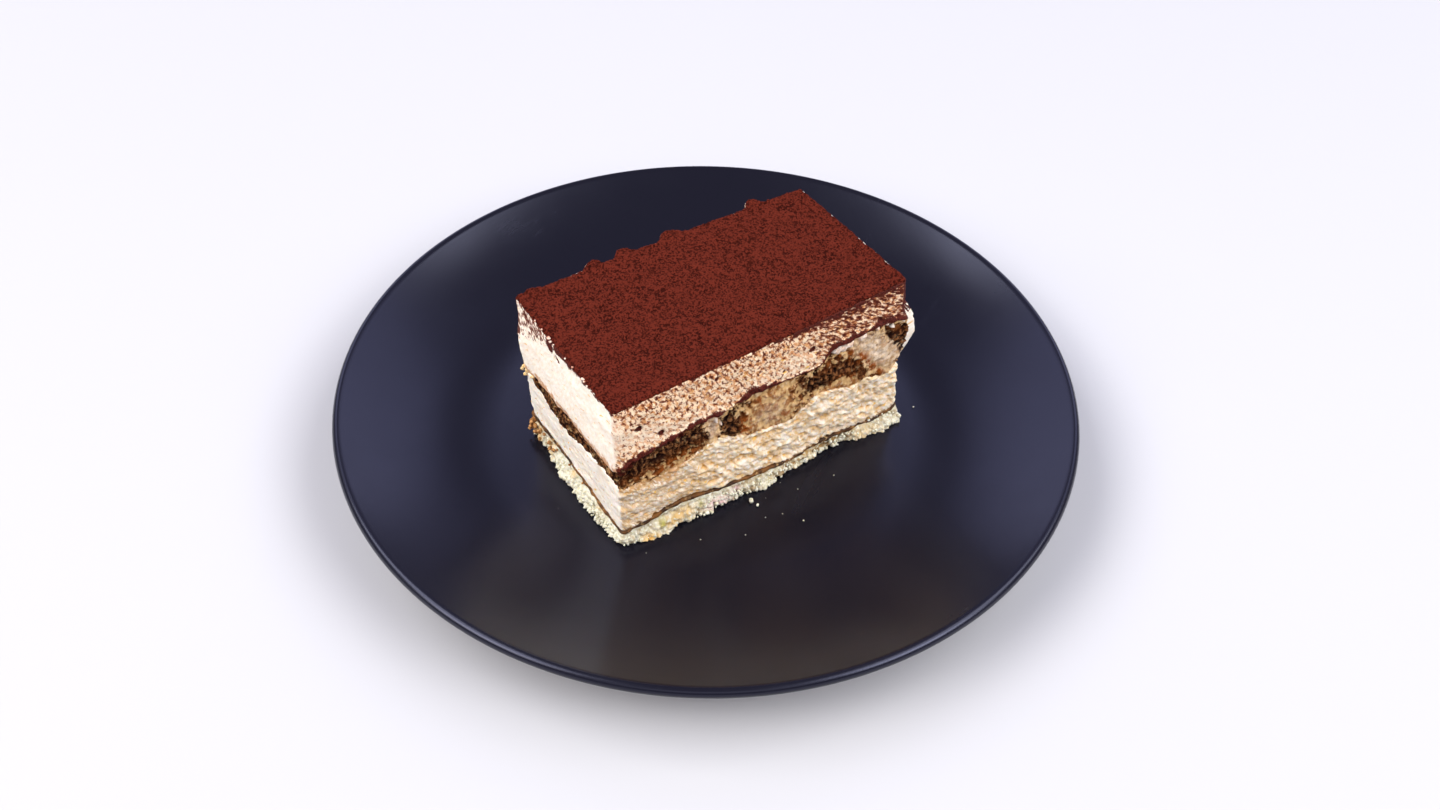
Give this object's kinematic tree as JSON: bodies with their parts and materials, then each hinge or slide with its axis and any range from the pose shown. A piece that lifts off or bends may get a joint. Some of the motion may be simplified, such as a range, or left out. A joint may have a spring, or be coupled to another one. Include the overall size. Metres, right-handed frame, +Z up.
{
  "type": "tiramisu slice on a plate",
  "caption": "Rectangular slice of tiramisu with cream and coffee-soaked sponge in layers under a cocoa top, on a round dark coupe plate.",
  "frame": {"origin": "middle of the plate's underside, on the surface it stands on", "axes": "+Z up along the plate's axis; the viewer's side is -Y; the slice's long side is turned 34.3 degrees from +X"},
  "size_m": [0.25, 0.25, 0.07],
  "materials": {
    "plate_glaze": "satin dark blue-grey glaze",
    "base_crumb": "dry torn crumb",
    "lower_cream": "soft matte cream, ridged by the knife",
    "soaked_sponge": "moist open crumb",
    "upper_cream": "soft matte cream with dragged cocoa",
    "cocoa_powder": "matte powder",
    "soak_skin": "moist baked skin"
  },
  "bodies": {
    "root": {"plate": "plate_glaze", "sponge_base": "base_crumb", "lower_cream": "lower_cream", "middle_sponge": "soaked_sponge", "upper_cream": "upper_cream", "cocoa_top": "cocoa_powder"}
  },
  "joints": []
}
